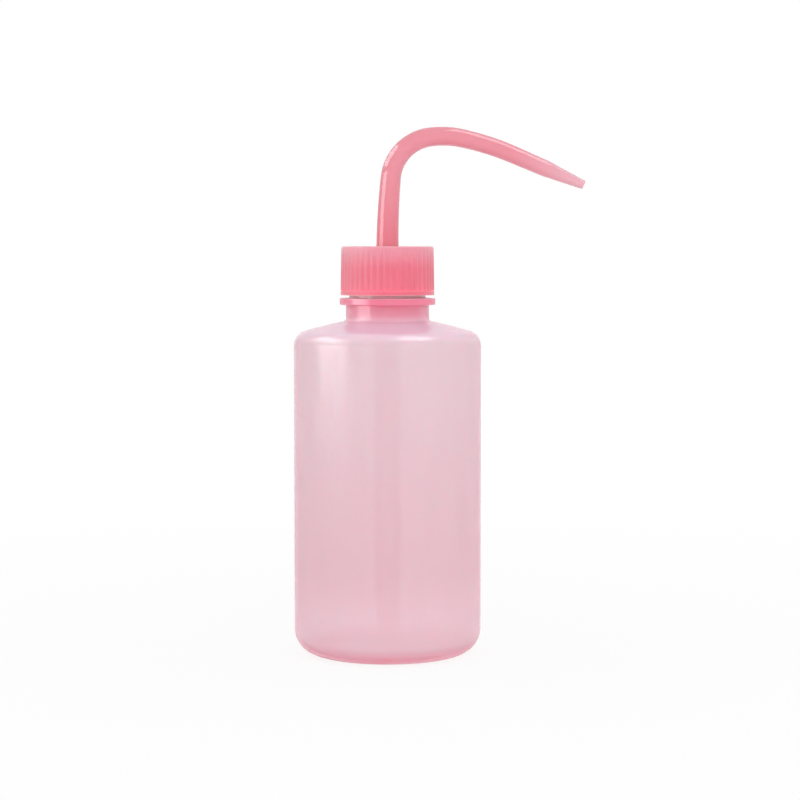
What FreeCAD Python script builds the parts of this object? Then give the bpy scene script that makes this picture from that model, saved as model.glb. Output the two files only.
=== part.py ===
"""Squeeze wash bottle with a ribbed screw cap, a swivelling bent spout and a dip tube.

Millimetres, +Z up. The origin is on the bottle's axis in the plane that it stands on, and
the spout points along +X.
"""
import FreeCAD, Part
import math
import os

# --- bottle body ------------------------------------------------------------------------
BODY_R = 30.0
WALL = 1.0
BASE_CORNER_R = 8.2
FOOT_INNER_R = 19.0          # inner edge of the flat ring that the bottle stands on
PUSH_UP_R = 16.0             # where the raised middle of the base begins
PUSH_UP_EDGE = 1.5
PUSH_UP = 2.0
SHOULDER_Z = 99.0            # top of the straight wall
SHOULDER_CORNER_R = 5.0
SHOULDER_SLOPE = 16.3        # degrees, where the corner runs into the dome
DOME_R = 150.0

# --- neck and its finish ----------------------------------------------------------------
NECK_R = 13.3
NECK_FILLET = 1.0
BORE_R = 10.4
BORE_LIP = 1.5               # rounding where the bore opens into the body
FLANGE_R = 15.3
FLANGE_BOTTOM = 112.15
FLANGE_TOP = 114.25
FLANGE_EDGE = 0.2
FINISH_R = 12.2
LIP_EDGE = 0.4

# --- screw thread, the same lead on the neck and in the cap --------------------------------
LEAD = 3.2
NECK_THREAD_BOTTOM = 118.0
NECK_THREAD_TURNS = 1.5
CAP_THREAD_TURNS = 1.25
THREAD_DEPTH = 1.05
THREAD_ROOT_WIDTH = 1.5
THREAD_CREST_WIDTH = 0.7
THREAD_BURIED = 0.4          # how far a ridge runs into the wall that carries it
FLANK_GAP = 0.15             # axial play between the loaded flanks

# --- cap ----------------------------------------------------------------------------------
CAP_BOTTOM = 115.2
CAP_TOP = 130.7
CAP_R_BOTTOM = 15.0
CAP_R_TOP = 14.75
CAP_EDGE = 0.7
CAP_PLATE = 1.6
CAP_BORE_R = 13.5
CAP_MOUTH_CHAMFER = 0.5
BAND_HEIGHT = 1.35           # plain band below the ribs
BAND_R = 15.0
GROOVE = 0.35
RIB_COUNT = 45
FLUTE_R = 1.1
FLUTE_DEPTH = 0.28
FLUTE_RUN_OUT = 2.6          # length over which a flute fades out below the top
SEAL_RING_R = (10.6, 12.2)
SNAP_BEAD = 0.7
SNAP_BEAD_HEIGHT = 0.9

# --- fits -----------------------------------------------------------------------------------
SEAT_GAP = 0.05              # between flat faces that are pressed together
TURN_GAP = 0.05              # radial, spigot in sleeve
PLUG_GAP = 0.08              # radial, stopper in neck
STEM_GAP = 0.10              # radial, stem in the cap's hole
PRESS = 0.05                 # radial interference of the dip tube on its nose

# --- stopper --------------------------------------------------------------------------------
STOPPER_FLANGE = 1.3
STOPPER_FLANGE_R = 13.2
STOPPER_BOTTOM = 107.5
STOPPER_WALL = 1.3
STOPPER_LEAD_IN = 0.7
SLEEVE_WALL = 1.2
SLEEVE_BOTTOM = 116.0

# --- spout ----------------------------------------------------------------------------------
COLLAR_R = 7.0
COLLAR = 1.4
SPIGOT_R = 3.4
SPIGOT_BOTTOM = 113.5
NOSE_R = 3.0
NOSE_LENGTH = 7.0
PASSAGE_R = 1.7
STEM_R = 3.6                 # outer radius where the stem leaves the cap
BEND_Z = 130.0               # the stem is straight below this height
JET_R = 0.6
JET_LENGTH = 8.0
JET_TIP_R = 1.4
TAPER_LENGTH = 13.3
ARM_STRAIGHT = 24.2          # straight end of the arm, its taper included

# The bends, from the cap outwards: bend radius, turn in degrees, outer radius at its end.
LEAN_BEND = 243.0
LEAN_TURN = 5.3
LEAN_END_R = 3.25
ELBOW_BEND = 14.5
ELBOW_TURN = 77.9
ELBOW_END_R = 3.04
CROWN_BEND = 31.0
CROWN_TURN = 19.2
CROWN_END_R = 2.93
DROOP_BEND = 91.0
DROOP_TURN = 10.8
DROOP_END_R = 2.78
TAPER_START_R = 2.62

# --- dip tube -------------------------------------------------------------------------------
TUBE_R = 4.0
TUBE_FOOT = 4.8
TUBE_CUT = 45.0              # degrees, slant of the foot

# --- heights worked out from the stack under the cap ------------------------------------------
PLATE_UNDER = CAP_TOP - CAP_PLATE
COLLAR_TOP = PLATE_UNDER - SEAT_GAP
COLLAR_UNDER = COLLAR_TOP - COLLAR
FLANGE_SEAT = COLLAR_UNDER - SEAT_GAP
STOPPER_UNDER = FLANGE_SEAT - STOPPER_FLANGE
LIP_Z = STOPPER_UNDER - SEAT_GAP

AXIS = FreeCAD.Vector(0, 0, 1)
ORIGIN = FreeCAD.Vector(0, 0, 0)


def at(r, z):
    """Point at radius r and height z in the XZ plane."""
    return FreeCAD.Vector(r, 0, z)


class Outline:
    """Closed loop of lines and arcs in the XZ plane, drawn from point to point."""

    def __init__(self, r, z):
        self.first = at(r, z)
        self.last = self.first
        self.edges = []

    def line(self, r, z):
        end = at(r, z)
        self.edges.append(Part.LineSegment(self.last, end).toShape())
        self.last = end

    def arc(self, centre, r, z):
        """Arc of less than half a turn about centre (r, z), to the point (r, z)."""
        middle = at(*centre)
        end = at(r, z)
        radius = (end - middle).Length
        outward = (self.last + end) * 0.5 - middle
        outward.normalize()
        self.edges.append(Part.Arc(self.last, middle + outward * radius, end).toShape())
        self.last = end

    def face(self):
        self.line(self.first.x, self.first.z)
        return Part.Face(Part.Wire(self.edges))

    def turned(self):
        return self.face().revolve(ORIGIN, AXIS, 360)


def cylinder(radius, bottom, top):
    return Part.makeCylinder(radius, top - bottom, at(0, bottom), AXIS)


def ring(inner, outer, bottom, top):
    return cylinder(outer, bottom, top).cut(cylinder(inner, bottom - 1, top + 1))


# --- bottle -------------------------------------------------------------------------------

def dome_centre():
    """Centre of the dome's arc in the XZ plane, tangent to the shoulder corner."""
    slope = math.radians(SHOULDER_SLOPE)
    reach = DOME_R - SHOULDER_CORNER_R
    corner_r = BODY_R - SHOULDER_CORNER_R
    return corner_r - reach * math.sin(slope), SHOULDER_Z - reach * math.cos(slope)


def shoulder_tangent(inset):
    """Where the corner arc meets the dome, inset from the outer surface."""
    slope = math.radians(SHOULDER_SLOPE)
    radius = SHOULDER_CORNER_R - inset
    corner_r = BODY_R - SHOULDER_CORNER_R
    return corner_r + radius * math.sin(slope), SHOULDER_Z + radius * math.cos(slope)


def dome_rounding(wall_r, radius, inset):
    """Rounding between the dome and an upright wall of radius wall_r.

    Gives its centre, its point on the dome and its point on the wall.
    """
    centre_r, centre_z = dome_centre()
    surface = DOME_R - inset
    r = wall_r + radius
    rise = math.sqrt((surface + radius) ** 2 - (r - centre_r) ** 2)
    z = centre_z + rise
    share = surface / (surface + radius)
    on_dome = (centre_r + (r - centre_r) * share, centre_z + rise * share)
    return (r, z), on_dome, (wall_r, z)


def bottle_shell():
    corner_r = BODY_R - SHOULDER_CORNER_R
    foot_r = BODY_R - BASE_CORNER_R
    dome = dome_centre()
    fillet, fillet_low, fillet_high = dome_rounding(NECK_R, NECK_FILLET, 0)
    lip, lip_low, lip_high = dome_rounding(BORE_R, BORE_LIP, WALL)
    edge = FLANGE_EDGE
    shell = Outline(0, PUSH_UP)
    # outside, from the middle of the base up to the lip
    shell.line(PUSH_UP_R, PUSH_UP_EDGE)
    shell.line(FOOT_INNER_R, 0)
    shell.line(foot_r, 0)
    shell.arc((foot_r, BASE_CORNER_R), BODY_R, BASE_CORNER_R)
    shell.line(BODY_R, SHOULDER_Z)
    shell.arc((corner_r, SHOULDER_Z), *shoulder_tangent(0))
    shell.arc(dome, *fillet_low)
    shell.arc(fillet, *fillet_high)
    shell.line(NECK_R, FLANGE_BOTTOM)
    shell.line(FLANGE_R - edge, FLANGE_BOTTOM)
    shell.arc((FLANGE_R - edge, FLANGE_BOTTOM + edge), FLANGE_R, FLANGE_BOTTOM + edge)
    shell.line(FLANGE_R, FLANGE_TOP - edge)
    shell.arc((FLANGE_R - edge, FLANGE_TOP - edge), FLANGE_R - edge, FLANGE_TOP)
    shell.line(FINISH_R, FLANGE_TOP)
    shell.line(FINISH_R, LIP_Z - LIP_EDGE)
    shell.arc((FINISH_R - LIP_EDGE, LIP_Z - LIP_EDGE), FINISH_R - LIP_EDGE, LIP_Z)
    # inside, from the lip down to the floor
    shell.line(BORE_R + LIP_EDGE, LIP_Z)
    shell.arc((BORE_R + LIP_EDGE, LIP_Z - LIP_EDGE), BORE_R, LIP_Z - LIP_EDGE)
    shell.line(*lip_high)
    shell.arc(lip, *lip_low)
    shell.arc(dome, *shoulder_tangent(WALL))
    shell.arc((corner_r, SHOULDER_Z), BODY_R - WALL, SHOULDER_Z)
    shell.line(BODY_R - WALL, BASE_CORNER_R)
    shell.arc((foot_r, BASE_CORNER_R), foot_r, WALL)
    shell.line(FOOT_INNER_R, WALL)
    shell.line(PUSH_UP_R, PUSH_UP_EDGE + WALL)
    shell.line(0, PUSH_UP + WALL)
    return shell.turned()


# --- threads ------------------------------------------------------------------------------

def thread_ridge(wall_r, inward, bottom, turns):
    """Helical ridge that stands THREAD_DEPTH out of a wall of radius wall_r."""
    side = -1 if inward else 1
    crest = wall_r + side * THREAD_DEPTH
    root = wall_r - side * THREAD_BURIED
    widening = (THREAD_ROOT_WIDTH - THREAD_CREST_WIDTH) * THREAD_BURIED / THREAD_DEPTH
    root_half = (THREAD_ROOT_WIDTH + widening) / 2
    crest_half = THREAD_CREST_WIDTH / 2
    corners = [
        at(root, bottom - root_half),
        at(crest, bottom - crest_half),
        at(crest, bottom + crest_half),
        at(root, bottom + root_half),
    ]
    section = Part.makePolygon(corners + corners[:1])
    helix = Part.makeHelix(LEAD, LEAD * turns, wall_r)
    helix.translate(at(0, bottom))
    ridge = Part.Wire(helix.Edges).makePipeShell([section], True, True)
    return ridge.cut(run_outs(wall_r, inward, bottom, turns))


def run_outs(wall_r, inward, bottom, turns):
    """Blocks whose flat side fades a ridge out to nothing at both of its ends."""
    plane_r = wall_r - THREAD_DEPTH if inward else wall_r
    near = plane_r - 2 * THREAD_DEPTH if inward else plane_r
    fade = math.acos(plane_r / (plane_r + THREAD_DEPTH))
    length = (plane_r + 2 * THREAD_DEPTH) * math.sin(fade)
    blocks = []
    for turn, side in ((0, 1), (turns, -1)):
        reach = -side if inward else side
        tangent = 360 * turn + (side * math.degrees(fade) if inward else 0)
        block = Part.makeBox(2 * THREAD_DEPTH, length, LEAD)
        start = 0 if reach > 0 else -length
        block.translate(FreeCAD.Vector(near, start, bottom + LEAD * (turn - 0.5)))
        block.rotate(ORIGIN, AXIS, tangent)
        blocks.append(block)
    return blocks


def neck_thread():
    return thread_ridge(FINISH_R, False, NECK_THREAD_BOTTOM, NECK_THREAD_TURNS)


def cap_thread():
    """Ridge inside the cap, just under the neck's ridge so that the two mesh."""
    drop = (THREAD_ROOT_WIDTH + THREAD_CREST_WIDTH) / 2 + FLANK_GAP
    return thread_ridge(CAP_BORE_R, True, NECK_THREAD_BOTTOM - drop, CAP_THREAD_TURNS)


def make_bottle():
    return bottle_shell().fuse(neck_thread()).removeSplitter()


# --- cap ----------------------------------------------------------------------------------

def cap_radius(z):
    """Outer radius of the drafted skirt at height z."""
    share = (z - CAP_BOTTOM) / (CAP_TOP - CAP_BOTTOM)
    return CAP_R_BOTTOM + (CAP_R_TOP - CAP_R_BOTTOM) * share


def cap_blank():
    band_top = CAP_BOTTOM + BAND_HEIGHT
    groove_r = BAND_R - GROOVE
    corner_r = cap_radius(CAP_TOP - CAP_EDGE) - CAP_EDGE
    bead_top = STOPPER_UNDER - SEAT_GAP
    bead_r = CAP_BORE_R - SNAP_BEAD
    bead_flat = SNAP_BEAD_HEIGHT / 3
    blank = Outline(STEM_R + STEM_GAP, CAP_TOP)
    blank.line(corner_r, CAP_TOP)
    blank.arc((corner_r, CAP_TOP - CAP_EDGE), corner_r + CAP_EDGE, CAP_TOP - CAP_EDGE)
    blank.line(cap_radius(band_top + GROOVE), band_top + GROOVE)
    blank.line(groove_r, band_top + GROOVE / 2)
    blank.line(BAND_R, band_top)
    blank.line(BAND_R, CAP_BOTTOM + GROOVE)
    blank.arc((BAND_R - GROOVE, CAP_BOTTOM + GROOVE), BAND_R - GROOVE, CAP_BOTTOM)
    blank.line(CAP_BORE_R + CAP_MOUTH_CHAMFER, CAP_BOTTOM)
    blank.line(CAP_BORE_R, CAP_BOTTOM + CAP_MOUTH_CHAMFER)
    blank.line(CAP_BORE_R, bead_top - SNAP_BEAD_HEIGHT)
    blank.line(bead_r, bead_top - 2 * bead_flat)
    blank.line(bead_r, bead_top - bead_flat)
    blank.line(CAP_BORE_R, bead_top)
    blank.line(CAP_BORE_R, PLATE_UNDER)
    blank.line(SEAL_RING_R[1], PLATE_UNDER)
    blank.line(SEAL_RING_R[1], FLANGE_SEAT + SEAT_GAP)
    blank.line(SEAL_RING_R[0], FLANGE_SEAT + SEAT_GAP)
    blank.line(SEAL_RING_R[0], PLATE_UNDER)
    blank.line(STEM_R + STEM_GAP, PLATE_UNDER)
    return blank.turned()


def flutes():
    """Cutters for the grooves between the ribs, each fading out to a point at its top."""
    low = CAP_BOTTOM + BAND_HEIGHT + GROOVE / 2
    fade = CAP_TOP - CAP_EDGE - FLUTE_RUN_OUT
    outside = FLUTE_R - FLUTE_DEPTH
    centre_low = at(cap_radius(low) + outside, low)
    along = at(cap_radius(fade) + outside, fade) - centre_low
    shaft = Part.makeCylinder(FLUTE_R, along.Length, centre_low, along)
    point_length = FLUTE_RUN_OUT * FLUTE_R / FLUTE_DEPTH
    point = Part.makeCone(FLUTE_R, 0, point_length, centre_low + along, along)
    cutter = shaft.fuse(point)
    cutters = []
    for rib in range(RIB_COUNT):
        copy = cutter.copy()
        copy.rotate(ORIGIN, AXIS, 360.0 * rib / RIB_COUNT)
        cutters.append(copy)
    return cutters


def make_screw_cap():
    return cap_blank().cut(flutes()).fuse(cap_thread()).removeSplitter()


# --- stopper ------------------------------------------------------------------------------

def make_neck_stopper():
    plug_r = BORE_R - PLUG_GAP
    plug_bore = plug_r - STOPPER_WALL
    sleeve_bore = SPIGOT_R + TURN_GAP
    sleeve_r = sleeve_bore + SLEEVE_WALL
    stopper = Outline(sleeve_bore, FLANGE_SEAT)
    stopper.line(STOPPER_FLANGE_R, FLANGE_SEAT)
    stopper.line(STOPPER_FLANGE_R, STOPPER_UNDER)
    stopper.line(plug_r, STOPPER_UNDER)
    stopper.line(plug_r, STOPPER_BOTTOM + STOPPER_LEAD_IN)
    stopper.line(plug_r - STOPPER_LEAD_IN, STOPPER_BOTTOM)
    stopper.line(plug_bore, STOPPER_BOTTOM)
    stopper.line(plug_bore, STOPPER_UNDER)
    stopper.line(sleeve_r, STOPPER_UNDER)
    stopper.line(sleeve_r, SLEEVE_BOTTOM)
    stopper.line(sleeve_bore, SLEEVE_BOTTOM)
    return stopper.turned()


# --- spout --------------------------------------------------------------------------------

def spout_path():
    """Edges of the spout's centre line above the cap, and the stations between them.

    A station is a point, its direction and the tube's outer radius there.
    """
    point = at(0, BEND_Z)
    heading = 90.0
    stations = [(point, heading, STEM_R)]
    edges = []
    bends = (
        (LEAN_BEND, LEAN_TURN, LEAN_END_R),
        (ELBOW_BEND, ELBOW_TURN, ELBOW_END_R),
        (CROWN_BEND, CROWN_TURN, CROWN_END_R),
        (DROOP_BEND, DROOP_TURN, DROOP_END_R),
    )
    for radius, turn, outer in bends:
        centre = point + direction(heading - 90) * radius
        middle = centre - direction(heading - 90 - turn / 2) * radius
        end = centre - direction(heading - 90 - turn) * radius
        edges.append(Part.Arc(point, middle, end).toShape())
        point = end
        heading -= turn
        stations.append((point, heading, outer))
    for length, outer in ((ARM_STRAIGHT - TAPER_LENGTH, TAPER_START_R), (TAPER_LENGTH, JET_TIP_R)):
        end = point + direction(heading) * length
        edges.append(Part.LineSegment(point, end).toShape())
        point = end
        stations.append((point, heading, outer))
    return edges, stations


def direction(heading):
    """Unit vector in the XZ plane, heading in degrees up from +X."""
    angle = math.radians(heading)
    return at(math.cos(angle), math.sin(angle))


def circle(station, radius=None):
    point, heading, outer = station
    edge = Part.makeCircle(radius or outer, point, direction(heading))
    return Part.Wire([edge])


def make_spout():
    edges, stations = spout_path()
    tip, heading, _ = stations[-1]
    taper_start = stations[-2][0]
    jet = direction(heading)
    jet_start = tip - jet * JET_LENGTH
    lengths = []
    for edge, start, end in zip(edges[:-1], stations, stations[1:]):
        sections = [circle(start), circle(end)]
        lengths.append(Part.Wire([edge]).makePipeShell(sections, True, False))
    taper = Part.makeCone(TAPER_START_R, JET_TIP_R, TAPER_LENGTH, taper_start, jet)
    root = Outline(0, BEND_Z)
    root.line(STEM_R, BEND_Z)
    root.line(STEM_R, COLLAR_TOP)
    root.line(COLLAR_R, COLLAR_TOP)
    root.line(COLLAR_R, COLLAR_UNDER)
    root.line(SPIGOT_R, COLLAR_UNDER)
    root.line(SPIGOT_R, SPIGOT_BOTTOM)
    root.line(NOSE_R, SPIGOT_BOTTOM)
    root.line(NOSE_R, SPIGOT_BOTTOM - NOSE_LENGTH)
    root.line(0, SPIGOT_BOTTOM - NOSE_LENGTH)
    body = root.turned().fuse(lengths + [taper])
    spine = Part.Wire(edges[:-1])
    passage = spine.makePipeShell([circle(stations[0], PASSAGE_R)], True, False)
    funnel_length = TAPER_LENGTH - JET_LENGTH
    funnel = Part.makeCone(PASSAGE_R, JET_R, funnel_length, taper_start, jet)
    outlet = Part.makeCylinder(JET_R, JET_LENGTH + 1, jet_start, jet)
    inlet = cylinder(PASSAGE_R, SPIGOT_BOTTOM - NOSE_LENGTH - 1, BEND_Z)
    return body.cut([passage, funnel, outlet, inlet]).removeSplitter()


# --- dip tube -----------------------------------------------------------------------------

def make_dip_tube():
    top = SPIGOT_BOTTOM - SEAT_GAP
    tube = ring(NOSE_R - PRESS, TUBE_R, TUBE_FOOT, top)
    rise = 2 * TUBE_R * math.tan(math.radians(TUBE_CUT))
    block = 4 * TUBE_R           # larger than the tube every way
    slant = Part.makeBox(2 * block, block, block)
    slant.translate(FreeCAD.Vector(-block, -block / 2, -block))
    slant.rotate(ORIGIN, FreeCAD.Vector(0, 1, 0), TUBE_CUT)
    slant.translate(at(-TUBE_R, TUBE_FOOT + rise))
    return tube.cut(slant)


def main():
    os.makedirs("parts", exist_ok=True)
    makers = {
        "bottle": make_bottle,
        "screw_cap": make_screw_cap,
        "neck_stopper": make_neck_stopper,
        "spout": make_spout,
        "dip_tube": make_dip_tube,
    }
    for node, make in makers.items():
        shape = make()
        solid = shape.Solids[0] if len(shape.Solids) == 1 else shape
        box = solid.BoundBox
        print(
            node, len(shape.Solids), solid.isValid(), round(solid.Volume, 1),
            [round(v, 2) for v in (box.XMin, box.YMin, box.ZMin, box.XMax, box.YMax, box.ZMax)],
        )
        solid.exportStep(f"parts/{node}.step")


main()
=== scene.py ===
"""Looks of a translucent pink squeeze wash bottle with a coral screw cap and bent spout."""
import math

import bpy
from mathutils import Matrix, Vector


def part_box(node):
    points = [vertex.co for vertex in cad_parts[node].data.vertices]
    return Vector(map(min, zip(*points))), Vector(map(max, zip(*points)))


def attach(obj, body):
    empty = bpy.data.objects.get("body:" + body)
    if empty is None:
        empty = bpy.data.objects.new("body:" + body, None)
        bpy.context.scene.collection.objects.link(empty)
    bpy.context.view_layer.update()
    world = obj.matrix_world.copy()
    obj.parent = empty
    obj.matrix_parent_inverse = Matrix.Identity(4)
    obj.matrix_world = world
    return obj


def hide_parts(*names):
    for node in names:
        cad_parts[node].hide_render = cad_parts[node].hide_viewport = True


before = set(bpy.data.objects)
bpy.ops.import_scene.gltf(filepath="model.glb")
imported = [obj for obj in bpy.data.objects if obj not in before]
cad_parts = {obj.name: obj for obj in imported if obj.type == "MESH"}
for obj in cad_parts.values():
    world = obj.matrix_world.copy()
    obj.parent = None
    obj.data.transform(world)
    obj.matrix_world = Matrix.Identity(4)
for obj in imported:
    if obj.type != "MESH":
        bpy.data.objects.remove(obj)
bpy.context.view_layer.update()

MM = 0.001
TURN = 2 * math.pi


def corners_of(node):
    """Lowest and highest corner of a CAD node, in millimetres."""
    low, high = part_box(node)
    return low / MM, high / MM


BOTTLE_HIGH = corners_of("bottle")[1]
CAP_LOW, CAP_HIGH = corners_of("screw_cap")
STOPPER_LOW, STOPPER_HIGH = corners_of("neck_stopper")
SPOUT_LOW, SPOUT_HIGH = corners_of("spout")
RISER_LOW, RISER_HIGH = corners_of("dip_tube")

# --- sizes of the bottle, in millimetres ----------------------------------------------------
BODY_R = BOTTLE_HIGH.y
WALL = 1.0
BASE_CORNER_R = 8.2
FOOT_INNER_R = 19.0
PUSH_UP_R = 16.0
PUSH_UP_EDGE = 1.5
PUSH_UP = 2.0
SHOULDER_Z = 99.0
SHOULDER_CORNER_R = 5.0
SHOULDER_SLOPE = math.radians(16.3)
DOME_R = 150.0
NECK_R = 13.3
NECK_FILLET = 1.0
BORE_R = 10.4
BORE_LIP = 1.5
FLANGE_R = 15.3
FLANGE_BOTTOM = 112.15
FLANGE_TOP = 114.25
FINISH_R = 12.2
LIP_Z = BOTTLE_HIGH.z

# --- sizes of the thread ----------------------------------------------------------------------
LEAD = 3.2
NECK_THREAD_BOTTOM = 118.0
NECK_THREAD_TURNS = 1.5
CAP_THREAD_TURNS = 1.25
THREAD_DEPTH = 1.05
THREAD_ROOT = 0.75           # half widths of the ridge
THREAD_CREST = 0.35
THREAD_FADE = math.radians(23)
THREAD_PLAY = 1.25           # how far the cap's ridge starts below the neck's
CAP_THREAD_BOTTOM = NECK_THREAD_BOTTOM - THREAD_PLAY

# --- sizes of the cap -------------------------------------------------------------------------
CAP_BOTTOM = CAP_LOW.z
CAP_TOP = CAP_HIGH.z
CAP_R_BOTTOM = 15.0
CAP_R_TOP = 14.75
CAP_EDGE = 0.7
PLATE_THICKNESS = 1.6
PLATE_UNDER = CAP_TOP - PLATE_THICKNESS
CAP_BORE_R = 13.5
CAP_MOUTH_CHAMFER = 0.5
BAND_HEIGHT = 1.35
BAND_TOP = CAP_BOTTOM + BAND_HEIGHT
BAND_R = 15.0
GROOVE = 0.35
RIB_COUNT = 45
FLUTE_R = 1.1
FLUTE_DEPTH = 0.28
FLUTE_RUN_OUT = 2.6
STEM_HOLE_R = 3.7
SEAL_RING_R = (10.6, 12.2)
BEAD_R = 12.8
BEAD_HEIGHT = 0.9
SEAT_GAP = 0.05              # between faces that rest on each other in the closure

# --- sizes of the stopper, the spout and the riser tube ---------------------------------------
STOPPER_FLANGE_R = STOPPER_HIGH.y
STOPPER_TOP = STOPPER_HIGH.z
STOPPER_THICKNESS = 1.3
STOPPER_UNDER = STOPPER_TOP - STOPPER_THICKNESS
STOPPER_BOTTOM = STOPPER_LOW.z
PLUG_R = 10.32
PLUG_BORE_R = 9.02
PLUG_LEAD_IN = 0.7
SLEEVE_R = 4.65
SLEEVE_BORE_R = 3.45
SLEEVE_BOTTOM = 116.0

COLLAR_R = SPOUT_HIGH.y
COLLAR_THICKNESS = 1.4
COLLAR_TOP = PLATE_UNDER - SEAT_GAP
COLLAR_UNDER = COLLAR_TOP - COLLAR_THICKNESS
STEM_R = 3.6
SPIGOT_R = 3.4
SPIGOT_BOTTOM = 113.5
NOSE_R = 3.0
NOSE_BOTTOM = SPOUT_LOW.z
PASSAGE_R = 1.7
BEND_Z = 130.0
BENDS = (                    # bend radius, turn in degrees, outer radius of the tube at its end
    (243.0, 5.3, 3.25),
    (14.5, 77.9, 3.04),
    (31.0, 19.2, 2.93),
    (91.0, 10.8, 2.78),
)
ARM_STRAIGHT = 24.2
TAPER_LENGTH = 13.3
TAPER_START_R = 2.62
JET_LENGTH = 8.0
JET_TIP_R = 1.4
JET_R = 0.6

RISER_R = RISER_HIGH.y
RISER_BORE_R = 2.95
RISER_TOP = RISER_HIGH.z
RISER_FOOT = RISER_LOW.z

# --- fineness of the meshes -------------------------------------------------------------------
BOTTLE_COLUMNS = 256
CAP_COLUMNS = 12 * RIB_COUNT
SMALL_COLUMNS = 96
TUBE_COLUMNS = 56
THREAD_ROWS = 0.16
SPOUT_ROWS = 0.6
ARC_STEP = math.radians(9)
CORNER_STEP = math.radians(5)
DOME_STEP = math.radians(0.4)
THREAD_MARGIN = 1.2          # fine rows start this far below the neck's ridge

# --- roundings of the moulded edges ----------------------------------------------------------
BASE_ROUNDING = 0.8
EDGE_ROUNDING = 0.2
CAP_ROUNDING = 0.18
SPOUT_ROUNDING = 0.25


# --- outlines: lists of (radius, height), the piece always on the left going round -------------

def arc(centre, start, end, step=ARC_STEP):
    """Points from start to end round centre, both ends included, the short way."""
    first = math.atan2(start[1] - centre[1], start[0] - centre[0])
    sweep = math.atan2(end[1] - centre[1], end[0] - centre[0]) - first
    sweep = (sweep + math.pi) % TURN - math.pi
    radius = math.hypot(start[0] - centre[0], start[1] - centre[1])
    count = max(2, math.ceil(abs(sweep) / step))
    angles = [first + sweep * i / count for i in range(count + 1)]
    return [(centre[0] + radius * math.cos(a), centre[1] + radius * math.sin(a)) for a in angles]


def soften(points, radius, closed=True):
    """Rounds the sharp corners of an outline, with a supporting point beside each rounding."""
    soft = []
    count = len(points)
    for i, here in enumerate(points):
        if not closed and i in (0, count - 1):
            soft.append(here)
            continue
        before = Vector(points[i - 1])
        after = Vector(points[(i + 1) % count])
        corner = Vector(here)
        back = before - corner
        ahead = after - corner
        opening = back.angle(ahead)
        if math.pi - opening < math.radians(20):
            soft.append(here)
            continue
        reach = min(radius / math.tan(opening / 2), 0.4 * back.length, 0.4 * ahead.length)
        rounding = reach * math.tan(opening / 2)
        back.normalize()
        ahead.normalize()
        middle = corner + (back + ahead).normalized() * (rounding / math.sin(opening / 2))
        soft.append(tuple(corner + back * reach * 1.25))
        soft.extend(arc(middle, corner + back * reach, corner + ahead * reach, math.radians(30)))
        soft.append(tuple(corner + ahead * reach * 1.25))
    return soft


def refine(points, step, low, high):
    """Adds points to an open outline wherever a run between two heights is longer than step."""
    fine = [points[0]]
    for start, end in zip(points, points[1:]):
        inside = min(start[1], end[1]) < high and max(start[1], end[1]) > low
        run = math.hypot(end[0] - start[0], end[1] - start[1])
        parts = max(1, math.ceil(run / step)) if inside else 1
        for part in range(1, parts + 1):
            share = part / parts
            fine.append(tuple(a + (b - a) * share for a, b in zip(start, end)))
    return fine


# --- meshes -----------------------------------------------------------------------------------

def upright(height):
    """Centre line of a piece that stands on the bottle's axis: its point and its heading."""
    return (0.0, height), math.pi / 2


def ringed(name, outline, columns, spine=upright, relief=None, closed=True):
    """A piece made of one ring for each point of its outline.

    spine gives the centre line at a height. relief(radius, height, angle) moves a point out
    or in. An open outline starts and ends on the axis and is closed there by a fan.
    """
    verts = []
    faces = []
    rings = []
    for radius, height in outline:
        (x, z), heading = spine(height)
        if radius < 1e-6:
            rings.append([len(verts)] * columns)
            verts.append((x * MM, 0.0, z * MM))
            continue
        rings.append(range(len(verts), len(verts) + columns))
        for column in range(columns):
            angle = TURN * column / columns
            reach = radius + (relief(radius, height, angle) if relief else 0.0)
            side = reach * math.cos(angle)
            point = (x + side * math.sin(heading), reach * math.sin(angle), z - side * math.cos(heading))
            verts.append(tuple(c * MM for c in point))
    loops = list(zip(rings, rings[1:]))
    if closed:
        loops.append((rings[-1], rings[0]))
    for lower, upper in loops:
        for column in range(columns):
            beside = (column + 1) % columns
            corners = [lower[column], lower[beside], upper[beside], upper[column]]
            faces.append(list(dict.fromkeys(corners)))
    mesh = bpy.data.meshes.new(name)
    mesh.from_pydata(verts, [], faces)
    mesh.shade_smooth()
    piece = bpy.data.objects.new(name, mesh)
    bpy.context.scene.collection.objects.link(piece)
    return piece


def settle(piece, body, node, finish):
    """Gives a piece its finish and makes it stand for its CAD node."""
    piece.data.materials.append(finish)
    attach(piece, body)
    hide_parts(node)
    return piece


# --- bottle -----------------------------------------------------------------------------------

def dome_centre():
    reach = DOME_R - SHOULDER_CORNER_R
    corner_r = BODY_R - SHOULDER_CORNER_R
    return corner_r - reach * math.sin(SHOULDER_SLOPE), SHOULDER_Z - reach * math.cos(SHOULDER_SLOPE)


def shoulder_tangent(inset):
    """Where the shoulder's corner runs into the dome, inset from the outside."""
    radius = SHOULDER_CORNER_R - inset
    corner_r = BODY_R - SHOULDER_CORNER_R
    return corner_r + radius * math.sin(SHOULDER_SLOPE), SHOULDER_Z + radius * math.cos(SHOULDER_SLOPE)


def dome_rounding(wall_r, radius, inset):
    """Rounding between the dome and an upright wall: its centre and its two ends."""
    centre_r, centre_z = dome_centre()
    surface = DOME_R - inset
    r = wall_r + radius
    rise = math.sqrt((surface + radius) ** 2 - (r - centre_r) ** 2)
    z = centre_z + rise
    share = surface / (surface + radius)
    return (r, z), (centre_r + (r - centre_r) * share, centre_z + rise * share), (wall_r, z)


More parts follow.
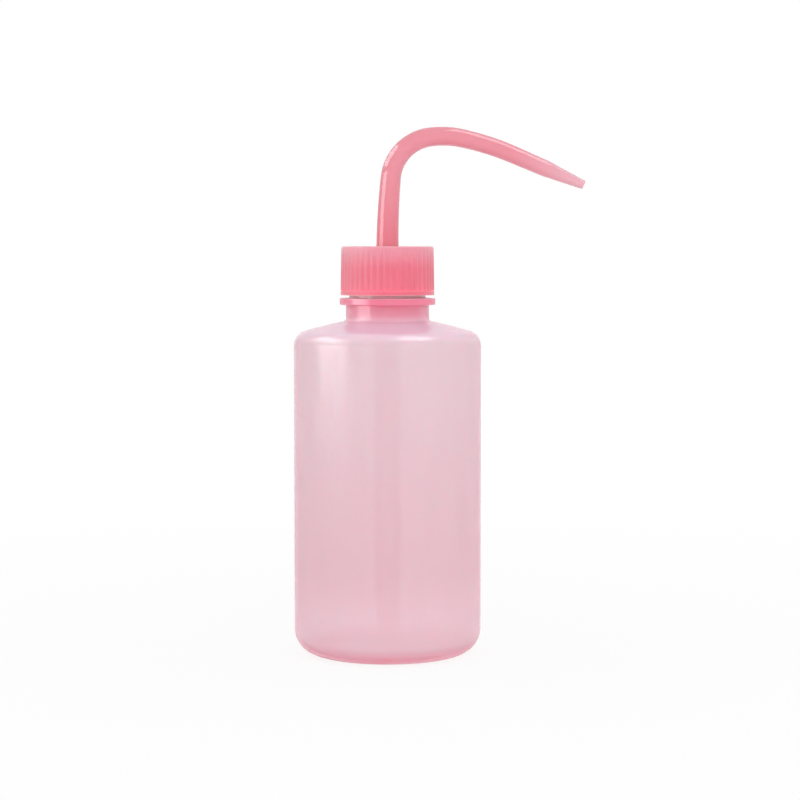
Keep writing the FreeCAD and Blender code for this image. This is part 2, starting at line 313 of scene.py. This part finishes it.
def bottle_outside():
    corner_r = BODY_R - SHOULDER_CORNER_R
    foot_r = BODY_R - BASE_CORNER_R
    neck_round, neck_low, neck_high = dome_rounding(NECK_R, NECK_FILLET, 0)
    base = [(0, PUSH_UP), (PUSH_UP_R, PUSH_UP_EDGE), (FOOT_INNER_R, 0), (foot_r, 0)]
    walls = soften(base, BASE_ROUNDING, closed=False)
    walls += arc((foot_r, BASE_CORNER_R), (foot_r, 0), (BODY_R, BASE_CORNER_R), CORNER_STEP)
    walls += arc((corner_r, SHOULDER_Z), (BODY_R, SHOULDER_Z), shoulder_tangent(0), CORNER_STEP)
    walls += arc(dome_centre(), shoulder_tangent(0), neck_low, DOME_STEP)
    walls += arc(neck_round, neck_low, neck_high)
    top = [
        (NECK_R, FLANGE_BOTTOM),
        (FLANGE_R, FLANGE_BOTTOM),
        (FLANGE_R, FLANGE_TOP),
        (FINISH_R, FLANGE_TOP),
        (FINISH_R, LIP_Z),
        (BORE_R, LIP_Z),
    ]
    below_lip = (BORE_R, LIP_Z - 5)
    neck = soften([walls[-1]] + top + [below_lip], EDGE_ROUNDING, closed=False)[1:-1]
    thread_start = NECK_THREAD_BOTTOM - THREAD_MARGIN
    return without_repeats(walls + refine(neck, THREAD_ROWS, thread_start, LIP_Z - 1))


def bottle_inside():
    corner_r = BODY_R - SHOULDER_CORNER_R
    foot_r = BODY_R - BASE_CORNER_R
    lip, lip_low, lip_high = dome_rounding(BORE_R, BORE_LIP, WALL)
    inner_r = BODY_R - WALL
    walls = arc(lip, lip_high, lip_low)
    walls += arc(dome_centre(), lip_low, shoulder_tangent(WALL), DOME_STEP)
    walls += arc((corner_r, SHOULDER_Z), shoulder_tangent(WALL), (inner_r, SHOULDER_Z), CORNER_STEP)
    walls += arc((foot_r, BASE_CORNER_R), (inner_r, BASE_CORNER_R), (foot_r, WALL), CORNER_STEP)
    base = [(FOOT_INNER_R, WALL), (PUSH_UP_R, PUSH_UP_EDGE + WALL), (0, PUSH_UP + WALL)]
    return walls + soften([walls[-1]] + base, BASE_ROUNDING, closed=False)[1:]


def without_repeats(points):
    """The outline without points that fall on the one before them."""
    kept = [points[0]]
    for point in points[1:]:
        if math.hypot(point[0] - kept[-1][0], point[1] - kept[-1][1]) > 1e-4:
            kept.append(point)
    return kept


def thread_height(height, angle, bottom, turns):
    """How far a ridge stands out of its wall at a point of that wall."""
    tallest = 0.0
    lap = angle / TURN
    while lap <= turns:
        off = abs(height - bottom - LEAD * lap)
        flank = min(1.0, max(0.0, (THREAD_ROOT - off) / (THREAD_ROOT - THREAD_CREST)))
        end = min(lap, turns - lap) * TURN / THREAD_FADE
        tallest = max(tallest, flank * min(1.0, end) * THREAD_DEPTH)
        lap += 1
    return tallest


def neck_relief(radius, height, angle):
    if abs(radius - FINISH_R) > 0.01:
        return 0.0
    return thread_height(height, angle, NECK_THREAD_BOTTOM, NECK_THREAD_TURNS)


def make_bottle():
    outline = without_repeats(bottle_outside() + bottle_inside())
    return ringed("bottle_shell", outline, BOTTLE_COLUMNS, relief=neck_relief, closed=False)


# --- cap --------------------------------------------------------------------------------------

def cap_radius(height):
    """Outer radius of the drafted skirt."""
    share = (height - CAP_BOTTOM) / (CAP_TOP - CAP_BOTTOM)
    return CAP_R_BOTTOM + (CAP_R_TOP - CAP_R_BOTTOM) * share


def flute_depth(radius, height, angle):
    """Depth of the groove between two ribs, which fades out to a point below the top."""
    outside = FLUTE_R - FLUTE_DEPTH
    fade_start = CAP_TOP - CAP_EDGE - FLUTE_RUN_OUT
    cutter = FLUTE_R - max(0.0, height - fade_start) * FLUTE_DEPTH / FLUTE_RUN_OUT
    axis_r = cap_radius(height) + outside
    pitch = TURN / RIB_COUNT
    off = (angle + pitch / 2) % pitch - pitch / 2
    across = axis_r * math.sin(off)
    if cutter <= abs(across):
        return 0.0
    floor = axis_r * math.cos(off) - math.sqrt(cutter ** 2 - across ** 2)
    return max(0.0, radius - floor)


def cap_relief(radius, height, angle):
    if abs(radius - CAP_BORE_R) < 0.01:
        return -thread_height(height, angle, CAP_THREAD_BOTTOM, CAP_THREAD_TURNS)
    if radius > BAND_R - GROOVE - 0.2 and height > BAND_TOP + GROOVE / 2:
        return -flute_depth(radius, height, angle)
    return 0.0


def make_cap():
    groove_r = BAND_R - GROOVE
    bead_top = STOPPER_UNDER - SEAT_GAP
    bead_flat = BEAD_HEIGHT / 3
    seal_bottom = STOPPER_TOP + SEAT_GAP
    inner_ring, outer_ring = SEAL_RING_R
    skirt = [
        (CAP_BORE_R + CAP_MOUTH_CHAMFER, CAP_BOTTOM),
        (BAND_R, CAP_BOTTOM),
        (BAND_R, BAND_TOP),
        (groove_r, BAND_TOP + GROOVE / 2),
        (cap_radius(BAND_TOP + GROOVE), BAND_TOP + GROOVE),
    ]
    edge_r = cap_radius(CAP_TOP - CAP_EDGE) - CAP_EDGE
    rim = arc((edge_r, CAP_TOP - CAP_EDGE), (edge_r + CAP_EDGE, CAP_TOP - CAP_EDGE), (edge_r, CAP_TOP))
    under = [
        (STEM_HOLE_R, CAP_TOP),
        (STEM_HOLE_R, PLATE_UNDER),
        (inner_ring, PLATE_UNDER),
        (inner_ring, seal_bottom),
        (outer_ring, seal_bottom),
        (outer_ring, PLATE_UNDER),
        (CAP_BORE_R, PLATE_UNDER),
        (CAP_BORE_R, bead_top),
        (BEAD_R, bead_top - bead_flat),
        (BEAD_R, bead_top - 2 * bead_flat),
        (CAP_BORE_R, bead_top - BEAD_HEIGHT),
        (CAP_BORE_R, CAP_BOTTOM + CAP_MOUTH_CHAMFER),
    ]
    outline = soften(skirt + rim + under, CAP_ROUNDING)
    outline = refine(outline, THREAD_ROWS, BAND_TOP + GROOVE, CAP_TOP - CAP_EDGE)
    return ringed("ribbed_cap", without_repeats(outline), CAP_COLUMNS, relief=cap_relief)


# --- stopper ----------------------------------------------------------------------------------

def make_stopper():
    outline = [
        (SLEEVE_BORE_R, STOPPER_TOP),
        (SLEEVE_BORE_R, SLEEVE_BOTTOM),
        (SLEEVE_R, SLEEVE_BOTTOM),
        (SLEEVE_R, STOPPER_UNDER),
        (PLUG_BORE_R, STOPPER_UNDER),
        (PLUG_BORE_R, STOPPER_BOTTOM),
        (PLUG_R - PLUG_LEAD_IN, STOPPER_BOTTOM),
        (PLUG_R, STOPPER_BOTTOM + PLUG_LEAD_IN),
        (PLUG_R, STOPPER_UNDER),
        (STOPPER_FLANGE_R, STOPPER_UNDER),
        (STOPPER_FLANGE_R, STOPPER_TOP),
    ]
    return ringed("stopper_plug", soften(outline, EDGE_ROUNDING), SMALL_COLUMNS)


# --- spout ------------------------------------------------------------------------------------

def spout_legs():
    """The bends of the spout as (start length, start point, start heading, radius).

    The last leg is the straight arm, which has no radius.
    """
    legs = []
    start = BEND_Z
    point = Vector((0.0, BEND_Z))
    heading = math.pi / 2
    for radius, turn, _ in BENDS:
        legs.append((start, point.copy(), heading, radius))
        angle = math.radians(turn)
        point += bend_step(heading, radius, angle)
        heading -= angle
        start += radius * angle
    legs.append((start, point.copy(), heading, None))
    return legs


def bend_step(heading, radius, angle):
    """The way travelled on a bend that turns down by an angle."""
    to_centre = Vector((math.sin(heading), -math.cos(heading))) * radius
    after = heading - angle
    return to_centre - Vector((math.sin(after), -math.cos(after))) * radius


LEGS = spout_legs()
ARM_START = LEGS[-1][0]
TIP = ARM_START + ARM_STRAIGHT


def spout_spine(length):
    """Centre line of the spout, by the length travelled from the plane that the bottle stands on."""
    if length <= BEND_Z:
        return upright(length)
    start, point, heading, radius = [leg for leg in LEGS if leg[0] <= length][-1]
    travelled = length - start
    if radius is None:
        point = point + Vector((math.cos(heading), math.sin(heading))) * travelled
        return tuple(point), heading
    angle = travelled / radius
    return tuple(point + bend_step(heading, radius, angle)), heading - angle


def make_spout():
    taper_start = TIP - TAPER_LENGTH
    outer = [
        (NOSE_R, NOSE_BOTTOM),
        (NOSE_R, SPIGOT_BOTTOM),
        (SPIGOT_R, SPIGOT_BOTTOM),
        (SPIGOT_R, COLLAR_UNDER),
        (COLLAR_R, COLLAR_UNDER),
        (COLLAR_R, COLLAR_TOP),
        (STEM_R, COLLAR_TOP),
        (STEM_R, BEND_Z),
    ]
    for leg, (_, _, end_r) in zip(LEGS[1:], BENDS):
        outer.append((end_r, leg[0]))
    inner = [
        (TAPER_START_R, taper_start),
        (JET_TIP_R, TIP),
        (JET_R, TIP),
        (JET_R, TIP - JET_LENGTH),
        (PASSAGE_R, taper_start),
        (PASSAGE_R, NOSE_BOTTOM),
    ]
    outline = refine(soften(outer + inner, SPOUT_ROUNDING), SPOUT_ROWS, BEND_Z, TIP)
    return ringed("bent_spout", without_repeats(outline), TUBE_COLUMNS, spine=spout_spine)


# --- riser tube -------------------------------------------------------------------------------

def make_riser():
    """Straight tube whose foot is cut on a slant, lowest on the spout's side."""
    outline = soften([
        (RISER_BORE_R, RISER_TOP),
        (RISER_BORE_R, RISER_FOOT),
        (RISER_R, RISER_FOOT),
        (RISER_R, RISER_TOP),
    ], EDGE_ROUNDING)
    piece = ringed("riser_tube", outline, TUBE_COLUMNS)
    foot = (RISER_FOOT + 1) * MM
    for vert in piece.data.vertices:
        if vert.co.z < foot:
            vert.co.z += RISER_R * MM - vert.co.x
    return piece


# --- finishes ---------------------------------------------------------------------------------

class Reading:
    """A number that a node gives. Sums and products of readings add Math nodes."""

    def __init__(self, finish, socket):
        self.finish = finish
        self.socket = socket

    def worked(self, operation, left, right):
        node = self.finish.node("ShaderNodeMath", {"operation": operation}, {0: left, 1: right})
        return Reading(self.finish, node.outputs[0])

    def __add__(self, other):
        return self.worked("ADD", self, other)

    def __sub__(self, other):
        return self.worked("SUBTRACT", self, other)

    def __rsub__(self, other):
        return self.worked("SUBTRACT", other, self)

    def __mul__(self, other):
        return self.worked("MULTIPLY", self, other)

    __radd__ = __add__
    __rmul__ = __mul__

    def larger(self, other):
        return self.worked("MAXIMUM", self, other)


def named(sockets, name):
    """A socket by its place, its name or, where names repeat, its identifier."""
    if isinstance(name, int):
        return sockets[name]
    return next(s for s in sockets if name in (s.identifier, s.name))


class Finish:
    """A material, or the world, and the nodes that make it up."""

    def __init__(self, owner):
        owner.use_nodes = True
        self.owner = owner
        self.tree = owner.node_tree
        self.tree.nodes.clear()

    def node(self, kind, settings=None, inputs=None):
        """Adds a node: its settings are set first, then the values or links of its sockets."""
        node = self.tree.nodes.new(kind)
        for name, value in (settings or {}).items():
            setattr(node, name, value)
        for name, value in (inputs or {}).items():
            socket = named(node.inputs, name)
            if isinstance(value, Reading):
                value = value.socket
            if isinstance(value, bpy.types.NodeSocket):
                self.tree.links.new(value, socket)
            else:
                socket.default_value = value
        return node

    def reading(self, kind, output=0, settings=None, inputs=None):
        return Reading(self, self.node(kind, settings, inputs).outputs[output])

    def place(self):
        """The point on the piece, in metres."""
        return self.node("ShaderNodeTexCoord").outputs["Object"]

    def noise(self, scale, detail=2.0, stretch=(1.0, 1.0, 1.0)):
        """Cloudy variation round 0.5, scale in cycles per metre before stretching."""
        mapping = self.node(
            "ShaderNodeMapping", {"vector_type": "POINT"}, {"Vector": self.place(), "Scale": stretch}
        )
        inputs = {"Vector": mapping.outputs[0], "Scale": scale, "Detail": detail}
        return self.reading("ShaderNodeTexNoise", "Fac", None, inputs)

    def fade(self, reading, low, high):
        """0 where the reading is low, 1 where it is high, smooth between."""
        inputs = {"Value": reading, "From Min": low, "From Max": high}
        return self.reading("ShaderNodeMapRange", 0, {"interpolation_type": "SMOOTHSTEP"}, inputs)

    def along(self, axis):
        """How far along X, Y or Z a point lies, in metres."""
        return self.reading("ShaderNodeSeparateXYZ", axis, None, {0: self.place()})

    def blend(self, share, first, second):
        """A colour between two colours."""
        inputs = {"Factor_Float": share, "A_Color": first, "B_Color": second}
        return self.node("ShaderNodeMix", {"data_type": "RGBA"}, inputs).outputs[2]

    def bump(self, height, depth):
        """Surface normal for a relief of that depth, in metres."""
        inputs = {"Height": height, "Strength": 1.0, "Distance": depth}
        return self.node("ShaderNodeBump", None, inputs).outputs[0]

    def surface(self, shader):
        self.node("ShaderNodeOutputMaterial", None, {"Surface": shader})
        return self.owner


def srgb(red, green, blue):
    """Linear colour of a colour given as 8-bit screen values."""
    levels = [v / 255 for v in (red, green, blue)]
    return tuple(v / 12.92 if v <= 0.04045 else ((v + 0.055) / 1.055) ** 2.4 for v in levels) + (1.0,)


# The shell's colours from the base up, some of them painted light: from and to in metres, and the colour
# from there on.
FOOT_COLOUR = srgb(254, 160, 184)
SHELL_TINTS_AND_PAINTED_LIGHT = (
    (0.0, 0.006, srgb(250, 222, 230)),       # base corner
    (0.01, 0.03, srgb(239, 211, 219)),       # lower wall
    (0.03, 0.1, srgb(241, 222, 228)),        # upper wall
    (0.1, 0.105, srgb(251, 220, 236)),       # shoulder
    (0.1056, 0.1098, srgb(254, 160, 184)),   # neck: painted glow of the coral stopper seen through it
    (0.1098, 0.1132, srgb(255, 124, 157)),   # upper neck and transfer flange: deep pink of the thick plastic, partly painted light that lifts the shade of flange and cap
    (0.1141, 0.11422, srgb(255, 205, 215)),  # finish under the cap: painted light, pale to lift the shade in the slot under the cap
)
MOTTLE_COLOUR = srgb(246, 236, 240)
MOTTLE = 0.12
WALL_OPACITY = 0.5
OPACITY_STEPS = (
    (0.1, 0.104, 0.3),        # thicker shoulder
    (0.1065, 0.109, -0.1),    # neck
    (0.1105, 0.1125, 0.15),   # flange
    (0.005, 0.001, 0.3),      # thick rim of the base
)
SHELL_ROUGHNESS = 0.2
GRAIN_ROUGHNESS = 0.06
POLISH_STEPS = (
    (0.094, 0.099, 0.06),     # the shoulder is smoother than the wall
    (0.1055, 0.108, -0.06),   # the neck is as rough as the wall
)
SHELL_RELIEF = 0.00012        # metres


def soft_shell():
    """Blow-moulded milky polyethylene of the bottle."""
    finish = Finish(bpy.data.materials.new("soft_shell"))
    height = finish.along("Z")
    cloud = finish.noise(scale=45.0, detail=3.0, stretch=(1.0, 1.0, 0.35))
    grain = finish.noise(scale=900.0)
    colour = FOOT_COLOUR
    # the neck, flange and finish colours carry painted light, as marked in the table
    for low, high, tint in SHELL_TINTS_AND_PAINTED_LIGHT:
        colour = finish.blend(finish.fade(height, low, high), colour, tint)
    roughness = SHELL_ROUGHNESS + grain * GRAIN_ROUGHNESS
    for low, high, polish in POLISH_STEPS:
        roughness = roughness - finish.fade(height, low, high) * polish
    opacity = WALL_OPACITY
    for low, high, more in OPACITY_STEPS:
        opacity = opacity + finish.fade(height, low, high) * more
    shader = finish.node("ShaderNodeBsdfPrincipled", {"subsurface_method": "RANDOM_WALK"}, {
        "Base Color": finish.blend(cloud * MOTTLE, colour, MOTTLE_COLOUR),
        "Roughness": roughness,
        "IOR": 1.9,
        "Alpha": opacity,
        "Normal": finish.bump(cloud, SHELL_RELIEF),
        "Subsurface Weight": 1.0,
        "Subsurface Radius": (1.0, 0.55, 0.62),
        "Subsurface Scale": 0.0015,
    })
    absorb = finish.node("ShaderNodeVolumeAbsorption", None, {
        "Color": srgb(255, 130, 185),
        "Density": 45.0,
    })
    finish.node("ShaderNodeOutputMaterial", None, {
        "Surface": shader.outputs[0],
        "Volume": absorb.outputs[0],
    })
    return finish.owner


CORAL_MOTTLE = 0.25
CORAL_RELIEF = 0.0000015      # metres


def coral(name, colour, pale, roughness, scatter, ior=1.5, tints=(), sheen=0.0):
    """Moulded coral polyethylene: satin gloss, slightly translucent.

    A tint is (axis, from, to, colour): the plastic takes that colour, smoothly, from one place to
    the other along an axis; a tint also serves as painted light, as where light comes through a thin or
    open end.
    """
    finish = Finish(bpy.data.materials.new(name))
    cloud = finish.noise(scale=160.0, detail=3.0)
    grain = finish.noise(scale=2200.0)
    base = finish.blend(cloud * CORAL_MOTTLE, colour, pale)
    for axis, start, end, tint in tints:
        base = finish.blend(finish.fade(finish.along(axis), start, end), base, tint)
    shader = finish.node("ShaderNodeBsdfPrincipled", {"subsurface_method": "BURLEY"}, {
        "Base Color": base,
        "Roughness": roughness + grain * GRAIN_ROUGHNESS,
        "IOR": ior,
        "Normal": finish.bump(grain, CORAL_RELIEF),
        "Sheen Weight": sheen,
        "Sheen Roughness": 0.5,
        "Subsurface Weight": 1.0,
        "Subsurface Radius": (0.6, 0.5, 0.5),
        "Subsurface Scale": scatter,
    })
    return finish.surface(shader.outputs[0])


# --- stage ------------------------------------------------------------------------------------

WORLD_LEVEL = 0.9
MIDDLE = Vector((0.0, 0.0, 0.085))
WHITE = (1.0, 1.0, 1.0, 1.0)
FLOOR_HALF = 3.0
FLOOR_COLOUR = (0.92, 0.92, 0.92, 1.0)
SHADOW_REACH = (0.08, 0.45)  # the floor keeps more of its shadow nearer than this, in metres
SHADOW_SHARE = 0.12


def seen_directly(finish):
    """1 for rays that show the surroundings: straight, mirrored or through the plastic."""
    path = finish.node("ShaderNodeLightPath")
    camera, glossy, through = [
        Reading(finish, path.outputs[name])
        for name in ("Is Camera Ray", "Is Glossy Ray", "Is Transmission Ray")
    ]
    return camera.larger(glossy).larger(through)


def make_world():
    world = bpy.data.worlds.new("white_studio")
    bpy.context.scene.world = world
    finish = Finish(world)
    grey = (WORLD_LEVEL, WORLD_LEVEL, WORLD_LEVEL, 1.0)
    colour = finish.blend(seen_directly(finish), grey, WHITE)
    background = finish.node("ShaderNodeBackground", None, {"Color": colour, "Strength": 1.0})
    finish.node("ShaderNodeOutputWorld", None, {"Surface": background.outputs[0]})


def make_floor():
    mesh = bpy.data.meshes.new("floor")
    corners = [(x * FLOOR_HALF, y * FLOOR_HALF, 0) for x, y in ((-1, -1), (1, -1), (1, 1), (-1, 1))]
    mesh.from_pydata(corners, [], [(0, 1, 2, 3)])
    floor = bpy.data.objects.new("floor", mesh)
    bpy.context.scene.collection.objects.link(floor)
    finish = Finish(bpy.data.materials.new("white_floor"))
    matt = finish.node("ShaderNodeBsdfDiffuse", None, {"Color": FLOOR_COLOUR})
    white = finish.node("ShaderNodeEmission", None, {"Color": WHITE, "Strength": 1.0})
    away = finish.reading("ShaderNodeVectorMath", "Value", {"operation": "LENGTH"}, {0: finish.place()})
    whiteness = finish.fade(away, *SHADOW_REACH) * SHADOW_SHARE + (1 - SHADOW_SHARE)
    inputs = {0: seen_directly(finish) * whiteness, 1: matt.outputs[0], 2: white.outputs[0]}
    mixed = finish.node("ShaderNodeMixShader", None, inputs)
    mesh.materials.append(finish.surface(mixed.outputs[0]))


def softbox(name, azimuth, elevation, distance, width, height, brightness, gleam=False):
    """Rectangular lamp that faces the bottle's middle. Azimuth 0 is the camera's side, positive right.

    A gleam shows in what is glossy and adds no other light; another lamp only fills.
    """
    turn = math.radians(azimuth)
    tilt = math.radians(elevation)
    towards = Vector((math.sin(turn) * math.cos(tilt), -math.cos(turn) * math.cos(tilt), math.sin(tilt)))
    light = bpy.data.lights.new(name, "AREA")
    light.shape = "RECTANGLE"
    light.size = width
    light.size_y = height
    light.energy = brightness * math.pi * width * height
    lamp = bpy.data.objects.new(name, light)
    lamp.location = MIDDLE + towards * distance
    lamp.rotation_euler = towards.to_track_quat("Z", "Y").to_euler()
    lamp.visible_diffuse = not gleam
    lamp.visible_glossy = gleam
    bpy.context.scene.collection.objects.link(lamp)


def make_lamps():
    softbox("left_high_softbox", azimuth=-93, elevation=40, distance=0.5,
            width=0.43, height=0.22, brightness=3.8, gleam=True)
    softbox("left_low_softbox", azimuth=-70, elevation=10, distance=0.5,
            width=0.38, height=0.2, brightness=3.3, gleam=True)
    softbox("overhead_softbox", azimuth=72, elevation=69, distance=0.75,
            width=0.36, height=0.36, brightness=3.4, gleam=True)
    softbox("front_softbox", azimuth=5, elevation=10, distance=0.9,
            width=0.6, height=0.6, brightness=1.5)


# --- camera -----------------------------------------------------------------------------------

CAMERA_PLACE = (0.0, -0.7125, 0.128)
CAMERA_TILT = math.radians(3.729)
FOCAL_PIXELS = 2225.8
PICTURE_PIXELS = 800
SENSOR_MM = 36.0
AXIS_LEFT_OF_MIDDLE = 12.5   # pixels from the picture's middle to the bottle's axis


def make_camera():
    data = bpy.data.cameras.new("camera")
    data.sensor_width = SENSOR_MM
    data.lens = FOCAL_PIXELS / PICTURE_PIXELS * SENSOR_MM
    camera = bpy.data.objects.new("camera", data)
    camera.location = CAMERA_PLACE
    pan = math.atan2(AXIS_LEFT_OF_MIDDLE, FOCAL_PIXELS)
    camera.rotation_euler = (math.pi / 2 - CAMERA_TILT, 0.0, -pan)
    bpy.context.scene.collection.objects.link(camera)
    bpy.context.scene.camera = camera


MOST_BOUNCES = 24             # light goes many times through and inside the milky walls
DIFFUSE_BOUNCES = 12


def main():
    bpy.context.scene.view_settings.view_transform = "Standard"
    paths = bpy.context.scene.cycles
    paths.max_bounces = MOST_BOUNCES
    paths.diffuse_bounces = DIFFUSE_BOUNCES
    paths.transparent_max_bounces = MOST_BOUNCES
    make_camera()
    make_world()
    make_floor()
    make_lamps()
    # Painted light: the cap pales towards its top, as if light came through the top plate.
    painted_top_light = ("Z", 0.1228, 0.1305, srgb(230, 144, 160))
    # Painted light: the cap's mouth pales to lift the shade in the slot above the flange.
    painted_mouth_light = ("Z", 0.1155, 0.1152, srgb(255, 190, 200))
    cap_plastic = coral(
        "cap_plastic", srgb(226, 106, 126), srgb(228, 116, 135), roughness=0.5, scatter=0.005,
        ior=1.6, tints=[painted_top_light, painted_mouth_light], sheen=0.4)
    stem_foot = ("Z", 0.158, 0.128, srgb(228, 121, 136))
    # The spout pales towards its thin tip: partly the thin plastic's own tone, partly painted light
    # coming through it.
    tip = ("X", 0.036, 0.064, srgb(230, 170, 182))
    spout_plastic = coral(
        "spout_plastic", srgb(230, 137, 151), srgb(231, 147, 160), roughness=0.05, scatter=0.002,
        ior=1.6, tints=[stem_foot, tip])
    stopper_plastic = coral(
        "stopper_plastic", srgb(254, 136, 150), srgb(255, 150, 160), roughness=0.35, scatter=0.002)
    riser_plastic = coral(
        "riser_plastic", srgb(250, 214, 222), srgb(252, 226, 232), roughness=0.35, scatter=0.002)
    settle(make_bottle(), "bottle", "bottle", soft_shell())
    settle(make_cap(), "cap", "screw_cap", cap_plastic)
    settle(make_stopper(), "stopper", "neck_stopper", stopper_plastic)
    settle(make_spout(), "spout", "spout", spout_plastic)
    settle(make_riser(), "spout", "dip_tube", riser_plastic)


main()
